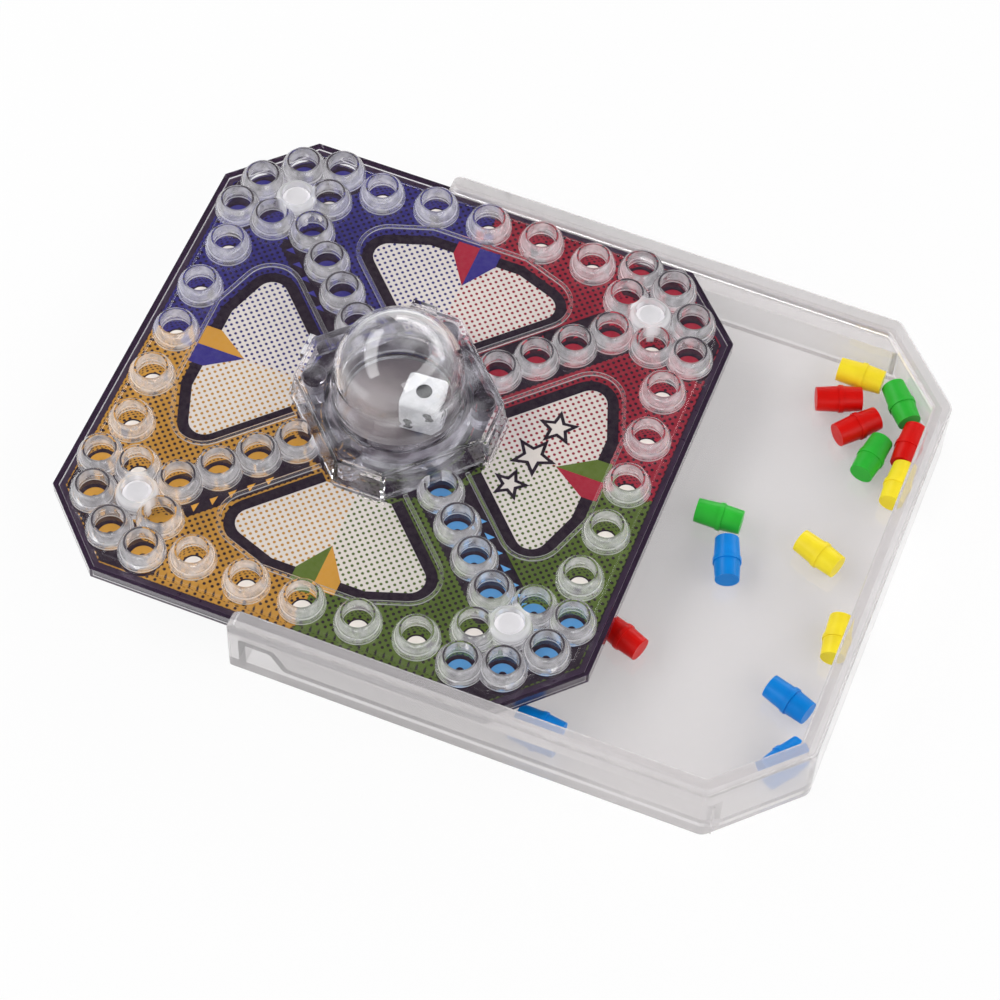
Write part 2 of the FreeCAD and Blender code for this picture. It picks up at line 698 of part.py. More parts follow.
def line(sk, a, b):
    return sk.addGeometry(Part.LineSegment(Vec(a[0].v, a[1].v, 0), Vec(b[0].v, b[1].v, 0)), False)


def quarter(sk, radius, level):
    arc = Part.ArcOfCircle(Part.Circle(Vec(0, level.v, 0), Vec(0, 0, 1), radius.v), 0, math.pi / 2)
    return sk.addGeometry(arc, False)


profile = [(as_size(0), shoulder + round_in), (as_size(0), shoulder + dome_shoulder),
           (dome_shoulder, shoulder), (dome_radius, house_top), (dome_radius, dome_flange_top),
           (dome_flange, dome_flange_top), (dome_flange, dome_low), (wall_in, dome_low),
           (wall_in, house_top), (round_in, shoulder)]
edges = [line(sk, profile[0], profile[1])]
outside = quarter(sk, dome_shoulder, shoulder)
edges += [line(sk, profile[k], profile[k + 1]) for k in range(2, 9)]
inside = quarter(sk, round_in, shoulder)
for g in (outside, inside):
    pin(sk, g, 3, 0, shoulder)
    sk.addConstraint(Sketcher.Constraint("PointOnObject", g, 2, -2))
sk.addConstraint(Sketcher.Constraint("Coincident", edges[0], 2, outside, 2))
sk.addConstraint(Sketcher.Constraint("Coincident", edges[0], 1, inside, 2))
sk.addConstraint(Sketcher.Constraint("Coincident", edges[1], 1, outside, 1))
sk.addConstraint(Sketcher.Constraint("Coincident", edges[-1], 2, inside, 1))
for g, p in zip(edges[1:], profile[2:9]):
    pin(sk, g, 1, *p)
for a, b in zip(edges[1:], edges[2:]):
    sk.addConstraint(Sketcher.Constraint("Coincident", a, 2, b, 1))
pin(sk, edges[-1], 2, *profile[9])
turned(dome, sk, "dome_turned")

die_floor = new_body("die_floor", board_x)
sk = sketch_on(die_floor, "die_floor_profile", plane="XZ_Plane")
hub_low = cup_inside + spring_rise + fit_gap
loop(sk, [(0, hub_low), (hub_radius, hub_low), (hub_radius, disc_low), (floor_disc, disc_low),
          (floor_disc, disc_top), (floor_pad, disc_top), (floor_pad, disc_top + floor_pad_rise),
          (0, disc_top + floor_pad_rise)])
turned(die_floor, sk, "die_floor_turned")

spring = new_body("snap_spring", board_x)
sk = sketch_on(spring, "spring_profile", plane="XZ_Plane")
bow = spring_rise - spring_thick
middle_r = spring_radius * 0.55
loop(sk, [(0, cup_inside + bow), (0, cup_inside + spring_rise),
          (middle_r, cup_inside + spring_thick + bow * 0.72, spring_radius),
          (spring_radius, cup_inside + spring_thick), (spring_radius, cup_inside),
          (middle_r, cup_inside + bow * 0.72, spring_radius)])
turned(spring, sk, "spring_turned")

# ---------------------------------------------------------------- die
die = new_body("die", board_x + die_x, die_y, die_low)
sk = sketch_on(die, "die_face")
half = die_edge / 2
loop(sk, [(-half, -half), (half, -half), (half, half), (-half, half)])
pad(die, sk, die_edge)
rounded(die, "die_rounding", die_round, lambda e: True)
die.Placement.Rotation = FreeCAD.Rotation(Vec(0, 0, 1), die_turn.v)
die.setExpression(".Placement.Rotation.Angle", die_turn.f)

# ---------------------------------------------------------------- pegs
# place of each loose peg on the tray floor: in from the end wall, then in from the back or the
# front wall or aside from the middle, and its turn
PEGS = {
    "yellow": [(19.96, "back", 7.76, 0.7), (3.71, "back", 31.73, -90.2),
               (13.88, "middle", 6.13, -19.9), (3.77, "middle", -12.07, -83.1)],
    "red": [(22.5, "back", 15.42, 22.3), (16.57, "back", 20.78, 48.6),
            (4.5, "back", 21.38, -90.7), (45.54, "middle", -28.52, -20.0)],
    "green": [(9.45, "back", 11.45, -50.9), (11.2, "back", 27.1, -98.6),
              (36.63, "middle", 6.83, 3.4), (87.65, "middle", 20.0, 40.0)],
    "blue": [(31.44, "middle", -2.71, -70.5), (8.38, "front", 31.05, -19.0),
             (5.09, "front", 17.27, 59.3), (53.76, "front", 6.09, -4.7)],
}


def make_peg(name, from_end, wall, from_wall, turn):
    from_end = dim(name + "_end", from_end, "loose peg, in from the end wall")
    from_wall = dim(name + "_side", from_wall, "loose peg, from the tray's " + wall)
    turn = dim(name + "_turn", turn, "loose peg, turn in degrees")
    y = {"back": inner_half - from_wall, "front": from_wall - inner_half, "middle": from_wall}[wall]
    body = new_body(name, inner_x - from_end, y, floor_top + peg_collar + fit_gap / 2)
    sk = sketch_on(body, name + "_profile", plane="XZ_Plane")
    end = peg_length / 2
    ring_a, ring_b = peg_collar_off - peg_collar_wide / 2, peg_collar_off + peg_collar_wide / 2
    loop(sk, [(-end, 0), (-end, peg_tip), (ring_a, peg_radius), (ring_a, peg_collar),
              (ring_b, peg_collar), (ring_b, peg_radius), (end, peg_tip), (end, 0)])
    f = body.newObject("PartDesign::Revolution", name + "_turned")
    f.Profile = sk
    f.ReferenceAxis = (sk, ["H_Axis"])
    f.Angle = 360.0
    sk.Visibility = False
    body.Placement.Rotation = FreeCAD.Rotation(Vec(0, 0, 1), turn.v)
    body.setExpression(".Placement.Rotation.Angle", turn.f)
    return body


pegs = []
for colour, places in PEGS.items():
    for k, place in enumerate(places):
        pegs.append(make_peg("peg_%s_%d" % (colour, k + 1), *place))

# ---------------------------------------------------------------- check and write
doc.recompute()
for obj in doc.Objects:
    if "Invalid" in obj.State or "Error" in obj.State:
        raise RuntimeError(obj.Name + " did not build: " + str(obj.State))

os.makedirs("parts", exist_ok=True)
for body in [tray, base, card, top, housing, dome, die_floor, spring, die] + pins + pegs:
    shape = body.Shape
    if shape.isNull() or not shape.isValid() or shape.Volume < 1:
        raise RuntimeError(body.Label + " has no sound shape")
    shape.exportStep("parts/" + body.Label + ".step")
    print("%-18s %2d solids %9.1f mm3" % (body.Label, len(shape.Solids), shape.Volume))
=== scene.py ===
import math

import bmesh
import bpy
from mathutils import Matrix, Vector


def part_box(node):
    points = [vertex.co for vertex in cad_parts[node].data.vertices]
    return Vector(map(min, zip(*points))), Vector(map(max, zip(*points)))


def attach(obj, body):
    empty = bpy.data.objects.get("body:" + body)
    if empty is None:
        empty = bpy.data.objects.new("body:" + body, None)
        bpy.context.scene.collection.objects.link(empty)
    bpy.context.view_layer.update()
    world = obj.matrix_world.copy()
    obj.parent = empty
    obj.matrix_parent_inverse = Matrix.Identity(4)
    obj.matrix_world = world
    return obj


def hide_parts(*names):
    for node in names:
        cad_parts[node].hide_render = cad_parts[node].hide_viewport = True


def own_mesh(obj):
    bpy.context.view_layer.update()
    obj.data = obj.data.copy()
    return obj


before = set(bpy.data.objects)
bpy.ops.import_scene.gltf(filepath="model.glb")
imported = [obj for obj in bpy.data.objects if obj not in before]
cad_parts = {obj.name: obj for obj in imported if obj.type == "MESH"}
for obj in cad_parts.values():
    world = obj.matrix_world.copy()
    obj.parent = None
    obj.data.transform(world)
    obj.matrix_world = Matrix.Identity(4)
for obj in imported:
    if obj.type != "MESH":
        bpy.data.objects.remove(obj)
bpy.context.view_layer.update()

# Looks for the clear board game with a die under a press dome. The frame is in metres. Sizes and
# places on the board are in millimetres from the board's centre, and MM turns them into metres.
MM = 0.001
ROOT2 = math.sqrt(2)

# ---------------------------------------------------------------- the board's centre and heights
base_low, base_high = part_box("base_plate")
BOARD = Vector(((base_low.x + base_high.x) / 2, (base_low.y + base_high.y) / 2, 0)) / MM
CARD_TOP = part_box("board_card")[1].z / MM
PLATE_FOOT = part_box("top_plate")[0].z / MM  # the foot of the clear plate's skirt, on the base
PLATE_UNDER = CARD_TOP + 0.1  # the clear plate's underside, over the card
PLATE_TOP = 16.0  # the clear plate's top face, on which rings, ribs and housing stand
TOUCH = 0.05  # faces this near to PLATE_UNDER count as lying in it
FOOT_PAINT_FADE = (0.03, 0.08)  # over PLATE_FOOT, where the base's dark painted into the skirt's foot ends: a painted view of the dark base through the clear plastic
HOUSING_LIFT = 0.05  # the housing is drawn this much above PLATE_TOP
# over PLATE_TOP: middle and half height of the ribs' sides, where the rings' pale share (painted
# reflection) sets in above the ribs, and where the dome's painted highlight hoops are faintest and
# strongest
RIB_MIDDLE, RIB_REACH = 0.3, 0.24
RING_FADE = (0.45, 0.9)
DOME_FADE = (2.0, 20.0)

# ---------------------------------------------------------------- places of the rings and pins
# along the right hand side
SIDE_ROW = [(52.0, 0.0), (51.94, 12.5), (51.94, -12.5), (50.87, 25.0), (50.87, -25.0)]
# at a corner, as (out along the diagonal, aside from it)
TURN_RING, START_RING = (56.5, -6.73), (56.5, 6.73)
HOME_RINGS = [(62.7, -12.5), (62.7, 12.5), (67.0, -4.85), (67.0, 4.85)]
FINISH_ROW = [(49.82 - 8.87 * k, 0.0) for k in range(4)]
PIN_OUT = 59.0
COLLAR_FADE = (4.2, 5.0)  # radii where the pale share painted on a pin's collar ends: painted reflection

# ---------------------------------------------------------------- colours
INK = (0.010, 0.002, 0.012)
PAPER = (0.64, 0.60, 0.555)
GOLD = (0.42, 0.21, 0.030)
INDIGO = (0.024, 0.019, 0.145)
RED = (0.25, 0.010, 0.026)
GREEN = (0.072, 0.112, 0.016)
SKY = (0.065, 0.21, 0.42)
BASE = (0.030, 0.014, 0.036)
# quarters of the board counter-clockwise from the front right: ground and spot colour
QUARTERS = [("front_right", GREEN, SKY), ("back_right", RED, RED),
            ("back_left", INDIGO, INDIGO), ("front_left", GOLD, GOLD)]
PEGS = {"yellow": (1.0, 0.78, 0.03), "red": (0.66, 0.005, 0.003),
        "green": (0.03, 0.47, 0.04), "blue": (0.002, 0.22, 0.68)}

# ---------------------------------------------------------------- print on the card
LAYER = 0.02  # one print layer above another
DOT_PITCH = 1.81  # cell of a dot screen, with dots at its corners and in its middle
GROUND_DOT, PANE_DOT, DOT_SOFT = 0.35, 0.33, 0.06  # radii on the quarters and windows, soft edge
SCREEN_SHIFT = (0.3 * MM, 0.2 * MM, 0.0)  # of the quarters' dots from the windows' dots
# windows and their dark edges: sides from the diagonals, far side, corner radius
PANE = (10.3, 43.6, 3.5)
PANE_EDGE = (7.8, 46.2, 6.0)
# both: half of the straight far side, slant of its ends, place of the near end on the diagonal
WINDOW_BEND, WINDOW_SLANT, WINDOW_START = 10.5, 0.354, 20.7
# at a corner, as (out along the diagonal, aside from it)
FINISH_BAND = [(22.5, -4.7), (53.8, -4.7), (53.8, 3.2), (50.8, 7.3), (22.5, 7.3)]
HOME_HALF = [(71.2, 10.2), (65.0, 16.4), (60.6, 16.8), (57.6, 14.0), (57.8, 10.8),
             (60.6, 7.6), (61.6, 3.8), (61.6, 0.5)]
MARK_STARTS = [30.5 + 4.2 * j for j in range(6)]  # of the way marks, out along the diagonal
MARK_LONG, MARK_ASIDE, MARK_POINT = 1.9, 5.0, 6.6
MARK_SHADE, LOZENGE_SHADE = 1.5, 1.25  # these marks are printed paler than their quarter
# lozenges at the windows: where they are widest, from there to the inner point and to the outer
# end, and half their width
LOZENGE_OUT, LOZENGE_POINT, LOZENGE_END, LOZENGE_HALF = 43.5, 7.5, 3.5, 5.0
# stars in the right hand window: centre, reach and turn, and how their edges and middles differ
STARS = [((28.6, -7.8), 3.2, 0.3), ((30.6, 0.6), 4.2, 0.0), ((33.0, 9.2), 3.6, 0.5)]
STAR_EDGE_GROWS, STAR_MIDDLE_GROWS = 1.1, -0.8
STAR_WAIST = 0.45  # radius between two points, share of the reach
HOME_SPOT, HOME_DOT, TRACK_RIM, TRACK_SPOT = 2.8, 0.9, 2.5, 2.1  # radii
MIDDLE_RING, MIDDLE_SPREAD = 16.7, 1.3  # the dark middle's inner radius, outer over inner radius

# ---------------------------------------------------------------- die
DIE_TURN = math.radians(4.0)  # the die is turned by this much in the frame
PIP_STEP, PIP_RADIUS, LONE_PIP_RADIUS = 2.2, 1.05, 1.75
# pips of a face in steps from its middle
PIP_PLACES = {1: [(0, 0)], 2: [(-1, -1), (1, 1)], 3: [(-1, 1), (0, 0), (1, -1)],
              4: [(-1, -1), (-1, 1), (1, -1), (1, 1)], 5: [(-1, -1), (-1, 1), (1, -1), (1, 1), (0, 0)],
              6: [(-1, -1), (-1, 0), (-1, 1), (1, -1), (1, 0), (1, 1)]}
LIGHT_POOL_PLACE, LIGHT_POOL_FADE = (-5.5, -1.0, 0.0), (2.0, 11.5)  # painted pool of light on the die's floor: its palest place, and radii round it

# ---------------------------------------------------------------- lamps, in metres and watts
LAMP_AIM = (0.0, 0.0, 0.01)
LAMPS = [("key_left", (-0.75, -0.15, 0.7), (1.7, 0.4), 8.8),
         ("fill_right", (0.8, -0.2, 0.6), (1.7, 0.4), 5.9),
         ("back_low", (0.25, 0.95, 0.35), (1.7, 0.3), 5.4)]

# ---------------------------------------------------------------- camera
# bearing in degrees, distance and aim in mm from the board's centre on the plate's top
VIEW_TURN, VIEW_HEIGHT, VIEW_ROLL = 19.28, 57.929, 2.705
VIEW_AWAY = 687.873
VIEW_AIM = (28.41, -13.078, PLATE_TOP)
FOCAL_SHARE = 3.278366  # focal length in picture widths


# ---------------------------------------------------------------- shader building
class Shader:
    """A node material in the making. Values may be numbers, colours or sockets."""

    def __init__(self, name):
        self.mat = bpy.data.materials.new(name)
        self.mat.use_nodes = True
        self.tree = self.mat.node_tree
        self.tree.nodes.clear()
        self.end = self.tree.nodes.new("ShaderNodeOutputMaterial")
        self.place = self.tree.nodes.new("ShaderNodeTexCoord").outputs["Object"]

    def put(self, socket, value):
        if isinstance(value, bpy.types.NodeSocket):
            self.tree.links.new(value, socket)
        elif socket.type == "RGBA" and len(value) == 3:
            socket.default_value = (*value, 1.0)
        else:
            socket.default_value = value

    def math(self, kind, *values):
        node = self.tree.nodes.new("ShaderNodeMath")
        node.operation = kind
        for socket, value in zip(node.inputs, values):
            self.put(socket, value)
        return node.outputs[0]

    def vector(self, kind, *values):
        node = self.tree.nodes.new("ShaderNodeVectorMath")
        node.operation = kind
        for socket, value in zip(node.inputs, values):
            self.put(socket, value)
        return node.outputs["Value" if kind == "LENGTH" else "Vector"]

    def axes(self, place=None):
        node = self.tree.nodes.new("ShaderNodeSeparateXYZ")
        self.put(node.inputs[0], place or self.place)
        return node.outputs

    def level_distance(self, place, centre):
        """How far place is from an upright line through centre."""
        off = self.vector("SUBTRACT", place, centre)
        return self.vector("LENGTH", self.vector("MULTIPLY", off, (1.0, 1.0, 0.0)))

    def ramp(self, value, low, high, to_low=0.0, to_high=1.0):
        node = self.tree.nodes.new("ShaderNodeMapRange")
        for name, v in (("Value", value), ("From Min", low), ("From Max", high),
                        ("To Min", to_low), ("To Max", to_high)):
            self.put(node.inputs[name], v)
        return node.outputs[0]

    def noise(self, scale, detail, place=None):
        node = self.tree.nodes.new("ShaderNodeTexNoise")
        node.inputs["Scale"].default_value = scale
        node.inputs["Detail"].default_value = detail
        self.put(node.inputs["Vector"], place or self.place)
        return node.outputs[0]

    def blend(self, factor, a, b):
        node = self.tree.nodes.new("ShaderNodeMix")
        node.data_type = "RGBA"
        self.put(node.inputs[0], factor)
        self.put(node.inputs[6], a)
        self.put(node.inputs[7], b)
        return node.outputs[2]

    def bump(self, height, depth):
        node = self.tree.nodes.new("ShaderNodeBump")
        node.inputs["Strength"].default_value = 1.0
        node.inputs["Distance"].default_value = depth
        self.put(node.inputs["Height"], height)
        return node.outputs[0]

    def principled(self, **values):
        node = self.tree.nodes.new("ShaderNodeBsdfPrincipled")
        for name, value in values.items():
            self.put(node.inputs[name.replace("_", " ")], value)
        return node.outputs[0]

    def plain(self, kind, colour, strength=None):
        node = self.tree.nodes.new("ShaderNode" + kind)
        self.put(node.inputs["Color"], colour)
        if strength is not None:
            node.inputs["Strength"].default_value = strength
        return node.outputs[0]

    def mixed(self, factor, a, b):
        node = self.tree.nodes.new("ShaderNodeMixShader")
        self.put(node.inputs[0], factor)
        self.put(node.inputs[1], a)
        self.put(node.inputs[2], b)
        return node.outputs[0]

    def level(self):
        """1 on level faces, 0 on upright ones."""
        normal = self.tree.nodes.new("ShaderNodeNewGeometry").outputs["Normal"]
        return self.math("ABSOLUTE", self.axes(normal)[2])

    def ray(self, kind):
        return self.tree.nodes.new("ShaderNodeLightPath").outputs[kind]

    def done(self, surface):
        self.put(self.end.inputs["Surface"], surface)
        return self.mat


def shade(colour, amount):
    return tuple(min(1.0, c * amount) for c in colour)


# ---------------------------------------------------------------- plastics
def clear_plastic(name, tint, clear=1.0, smear=0.05, milk_and_sheen=None, foot=None, contact=None):
    """Clear moulded plastic with faint flow waves and patches of handling haze. clear is the share
    of light that it lets through, and smear the haze's roughness. The scattering function, if given,
    gives the share that scatters light: real cloudiness in patches on the housing, and painted
    reflection and painted highlight on the rings, collars, ribs and dome. foot is the height of an
    underside that rests on the dark base; over it the skirt's lowest sliver is painted opaque in the
    base's dark, a painted view of the base through the plastic. contact is the height of an underside
    that lies tight against what is below, so that light goes straight through it."""
    s = Shader(name)
    haze = s.ramp(s.noise(45, 3), 0.42, 0.75, 0.008, smear)
    waves = s.bump(s.noise(70, 1), 0.02 * MM)
    if milk_and_sheen is not None:
        clear = s.math("SUBTRACT", clear, milk_and_sheen(s))
    colour = tint
    if foot is not None:
        # painted view of the base: the skirt's lowest sliver is made opaque in the base's dark colour
        low, high = FOOT_PAINT_FADE
        under = s.ramp(s.axes()[2], (foot + low) * MM, (foot + high) * MM, 1.0, 0.0)
        clear = s.math("MULTIPLY", clear, s.math("SUBTRACT", 1.0, under))
        colour = s.blend(under, tint, BASE)
    body = s.principled(Base_Color=colour, Roughness=haze, IOR=1.49,
                        Transmission_Weight=clear, Normal=waves)
    if contact is not None:
        here = s.math("COMPARE", s.axes()[2], contact * MM, TOUCH * MM)
        tight = s.math("MULTIPLY", here, s.math("GREATER_THAN", s.level(), 0.9))
        body = s.mixed(tight, body, s.plain("BsdfTransparent", (1.0, 1.0, 1.0)))
    through = s.plain("BsdfTransparent", tuple(0.97 * math.sqrt(c) for c in tint))
    return s.done(s.mixed(s.ray("Is Shadow Ray"), body, through))


def painted_ring_sheen(s):
    """Painted sheen: the peg rings' upright walls and the pins' collars get a pale share that stands
    in for reflections of the pale surroundings, and the low ribs' sides get it as painted highlight
    lines. It varies in random patches.
    """
    height = s.axes()[2]
    above = s.ramp(height, *[(PLATE_TOP + rise) * MM for rise in RING_FADE])
    upright = s.ramp(s.level(), 0.15, 0.75, 0.31, 0.06)
    patches = s.ramp(s.noise(420, 2), 0.3, 0.7, 0.55, 1.5)
    # painted reflection: the pale share on the rings' upright walls
    rings = s.math("MULTIPLY", above, s.math("MULTIPLY", upright, patches))
    pin = PIN_OUT / ROOT2 * MM
    corner = s.vector("ABSOLUTE", s.vector("SUBTRACT", s.place, tuple(BOARD * MM)))
    away = s.level_distance(corner, (pin, pin, 0.0))
    collars = s.ramp(away, COLLAR_FADE[0] * MM, COLLAR_FADE[1] * MM, 0.5, 0.0)
    # painted highlight lines on the low ribs' sides
    low = s.math("COMPARE", height, (PLATE_TOP + RIB_MIDDLE) * MM, RIB_REACH * MM)
    ribs = s.math("MULTIPLY", low, s.ramp(s.level(), 0.3, 0.9, 0.5, 0.06))
    return s.math("MAXIMUM", s.math("MAXIMUM", rings, ribs), s.math("MULTIPLY", collars, above))


def painted_dome_hoops(s):
    """Painted highlight hoops on the dome: a pale scattering share in faint hoops that stands in for
    the soft boxes' bands mirrored in it, most near its crown.
    """
    height = s.axes()[2]
    hoops = s.noise(260, 2, s.vector("MULTIPLY", s.place, (0.2, 0.2, 1.0)))
    # painted highlight: the pale hoops grow stronger towards the crown
    up = s.ramp(height, *[(PLATE_TOP + rise) * MM for rise in DOME_FADE], 0.01, 0.06)
    return s.math("MULTIPLY", up, s.ramp(hoops, 0.5, 0.62, 0.05, 2.4))


def housing_milk(s):
    """The housing is faintly cloudy in patches."""
    return s.ramp(s.noise(170, 2), 0.45, 0.66, 0.0, 0.12)


def die_floor_painted_light():
    """The die's floor, with a painted pool of light: palest at one place and darker away from it."""
    s = Shader("die_floor_plastic")
    away = s.level_distance(s.place, tuple((BOARD + Vector(LIGHT_POOL_PLACE)) * MM))
    light_reach = s.math("ADD", away, s.ramp(s.noise(300, 3), 0.3, 0.7, -1.0 * MM, 1.0 * MM))
    # painted light: the floor's tone is palest at the pool's centre and darker away from it
    tone = s.blend(s.ramp(light_reach, LIGHT_POOL_FADE[0] * MM, LIGHT_POOL_FADE[1] * MM),
                   (0.23, 0.20, 0.20), (0.085, 0.07, 0.077))
    scratches = s.bump(s.noise(1500, 3), 0.012 * MM)
    return s.done(s.principled(Base_Color=tone, Roughness=0.38, Normal=scratches))


def moulded(name, colour, rough, **more):
    """Solid coloured plastic with slight shade drift and a fine moulded grain."""
    s = Shader(name)
    drift = s.ramp(s.noise(160, 3), 0.3, 0.7)
    tone = s.blend(drift, shade(colour, 0.9), shade(colour, 1.06))
    grain = s.bump(s.noise(2600, 2), 0.012 * MM)
    gloss = s.ramp(s.noise(900, 2), 0.3, 0.7, rough - 0.05, rough + 0.07)
    return s.done(s.principled(Base_Color=tone, Roughness=gloss, Normal=grain, **more))


# ---------------------------------------------------------------- inks
def dots(s, radius, place=None):
    """1 inside the dots of a staggered screen, 0 between them."""
    fine = 1 / (DOT_PITCH * MM)
    cells = s.vector("MULTIPLY", place or s.place, (fine, fine, 0.0))
    nearest = None
    for start in ((0.0, 0.0, 0.0), (0.5, 0.5, 0.0)):
        cell = s.vector("FRACTION", s.vector("ADD", cells, start))
        off = s.vector("SUBTRACT", cell, (0.5, 0.5, 0.0))
        away = s.vector("LENGTH", s.vector("MULTIPLY", off, (DOT_PITCH, DOT_PITCH, 0.0)))
        nearest = away if nearest is None else s.math("MINIMUM", nearest, away)
    return s.ramp(nearest, radius - DOT_SOFT, radius + DOT_SOFT, 1.0, 0.0)


def ink_finish(s, colour):
    """Printed card: paper tooth and uneven ink."""
    uneven = s.ramp(s.noise(900, 4), 0.3, 0.75, 0.0, 1.0)
    tone = s.blend(uneven, colour, s.blend(0.03, colour, PAPER))
    tooth = s.bump(s.noise(5200, 3), 0.003 * MM)
    return s.done(s.principled(Base_Color=tone, Roughness=0.7, Specular_IOR_Level=0.15,
                               Normal=tooth))


def flat_ink(name, colour):
    return ink_finish(Shader(name), colour)


def screened_ink(name, ground, ink, radius):
    s = Shader(name)
    return ink_finish(s, s.blend(dots(s, radius), ground, ink))


# ---------------------------------------------------------------- outlines on the board
def turned(points, quarters):
    """Points turned counter-clockwise by quarters of a circle."""
    for _ in range(quarters):
        points = [(-y, x) for x, y in points]
    return points


def at_corner(places, quarters):
    """Points given as (out, aside) of the front right diagonal, aside counter-clockwise, turned
    counter-clockwise by quarters of a circle."""
    return turned([((out + aside) / ROOT2, (aside - out) / ROOT2) for out, aside in places],
                  quarters)


def disc(centre, radius, count=40):
    x, y = centre
    steps = [2 * math.pi * k / count for k in range(count)]
    return [(x + radius * math.cos(a), y + radius * math.sin(a)) for a in steps]


def star(centre, reach, turn):
    x, y = centre
    steps = [(turn + math.pi * k / 5, reach if k % 2 == 0 else reach * STAR_WAIST) for k in range(10)]
    return [(x + r * math.cos(a), y + r * math.sin(a)) for a, r in steps]


def rounded(corners, steps=8):
    """Polyline through corners (x, y) or (x, y, radius), with the radii drawn as arcs."""
    points = []
    for k, corner in enumerate(corners):
        here = Vector(corner[:2])
        if len(corner) == 2:
            points.append(tuple(here))
            continue
        back = (Vector(corners[k - 1][:2]) - here).normalized()
        ahead = (Vector(corners[(k + 1) % len(corners)][:2]) - here).normalized()
        half = back.angle(ahead) / 2
        centre = here + (back + ahead).normalized() * (corner[2] / math.sin(half))
        reach = corner[2] / math.tan(half)
        start, stop = here + back * reach - centre, here + ahead * reach - centre
        sweep = start.angle_signed(stop)
        for j in range(steps + 1):
            points.append(tuple(centre + Matrix.Rotation(-sweep * j / steps, 2) @ start))
    return points


def window_line(side, far, radius):
    """Edge of the right hand window: side from the diagonals, far from the centre."""
    tip_x = (far + WINDOW_SLANT * (side * ROOT2 + WINDOW_BEND)) / (WINDOW_SLANT + 1)
    tip_y = tip_x - side * ROOT2
    near_x, near_y = (WINDOW_START + side) / ROOT2, (WINDOW_START - side) / ROOT2
    return rounded([(near_x, -near_y), (tip_x, -tip_y, radius), (far, -WINDOW_BEND),
                    (far, WINDOW_BEND), (tip_x, tip_y, radius), (near_x, near_y)])


# ---------------------------------------------------------------- pieces
def new_piece(name, mesh, material, body):
    obj = bpy.data.objects.new(name, mesh)
    bpy.context.scene.collection.objects.link(obj)
    mesh.materials.append(material)
    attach(obj, body)
    return obj


def printed(name, material, layer, areas=(), strips=()):
    """Flat print on the card: whole areas, and strips between two lines of as many points. Print
    of a higher layer covers print of a lower one."""
    bm = bmesh.new()
    z = CARD_TOP + LAYER * layer

    def points(line):
        return [bm.verts.new(((BOARD.x + x) * MM, (BOARD.y + y) * MM, z * MM)) for x, y in line]

    for area in areas:
        bm.faces.new(points(area))
    for one, other in strips:
        a, b = points(one), points(other)
        for k in range(len(a) - 1):
            bm.faces.new((a[k], a[k + 1], b[k + 1], b[k]))
    bmesh.ops.triangulate(bm, faces=[f for f in bm.faces if len(f.verts) > 4])
    bmesh.ops.recalc_face_normals(bm, faces=bm.faces)
    for face in bm.faces:
        if face.normal.z < 0:
            face.normal_flip()
    mesh = bpy.data.meshes.new(name)
    bm.to_mesh(mesh)
    bm.free()
    new_piece(name, mesh, material, "board")


def card_ground():
    """The card's four coloured quarters under a fine dark screen."""
    s = Shader("card_quarters")
    x, y, _ = s.axes()
    right = s.math("GREATER_THAN", x, BOARD.x * MM)
    back = s.math("GREATER_THAN", y, BOARD.y * MM)
    ground = s.blend(back, s.blend(right, GOLD, GREEN), s.blend(right, INDIGO, RED))
    shifted = s.vector("ADD", s.place, SCREEN_SHIFT)
    screened = s.blend(dots(s, GROUND_DOT, shifted), ground, INK)
    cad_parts["board_card"].data.materials[0] = ink_finish(s, screened)


def windows():
    """Four pale windows, each half screened in its neighbour's colour, with dark edges."""
    inner, outer = window_line(*PANE), window_line(*PANE_EDGE)
    half = len(inner) // 2
    near, far = (inner[0][0], 0.0), (PANE[1], 0.0)
    low, high = [near] + inner[:half] + [far], [far] + inner[half:] + [near]
    dark = flat_ink("window_edge_ink", INK)
    for k in range(4):
        for (name, ink, _), area in ((QUARTERS[k], low), (QUARTERS[(k + 1) % 4], high)):
            pale = screened_ink("screen_%s_%d" % (name, k), PAPER, ink, PANE_DOT)
            printed("window_%d_%s" % (k + 1, name), pale, 1, areas=[turned(area, k)])
        printed("window_edge_%d" % (k + 1), dark, 2, strips=[(turned(inner, k), turned(outer, k))])


def finish_bands():
    """Dark grounds under the finish rows and the home corners, with small way marks."""
    dark = flat_ink("band_ink", INK)
    home = HOME_HALF + [(out, -aside) for out, aside in HOME_HALF[::-1]]
    marks = [[(out, MARK_ASIDE), (out + MARK_LONG, MARK_POINT), (out + MARK_LONG, MARK_ASIDE)]
             for out in MARK_STARTS]
    for k, (name, _, spot) in enumerate(QUARTERS):
        printed("finish_band_" + name, dark, 1, areas=[at_corner(FINISH_BAND, k)])
        printed("home_ground_" + name, dark, 2, areas=[at_corner(home, k)])
        ink = flat_ink("way_mark_ink_" + name, shade(spot, MARK_SHADE))
        printed("way_marks_" + name, ink, 2, areas=[at_corner(mark, k) for mark in marks])


def middle_ground():
    """The dark ring of print that shows through the housing."""
    inner = disc((0.0, 0.0), MIDDLE_RING, count=48)
    outer = [(x * MIDDLE_SPREAD, y * MIDDLE_SPREAD) for x, y in inner]
    printed("middle_ground", flat_ink("middle_ink", INK), 2,
            strips=[(inner + inner[:1], outer + outer[:1])])


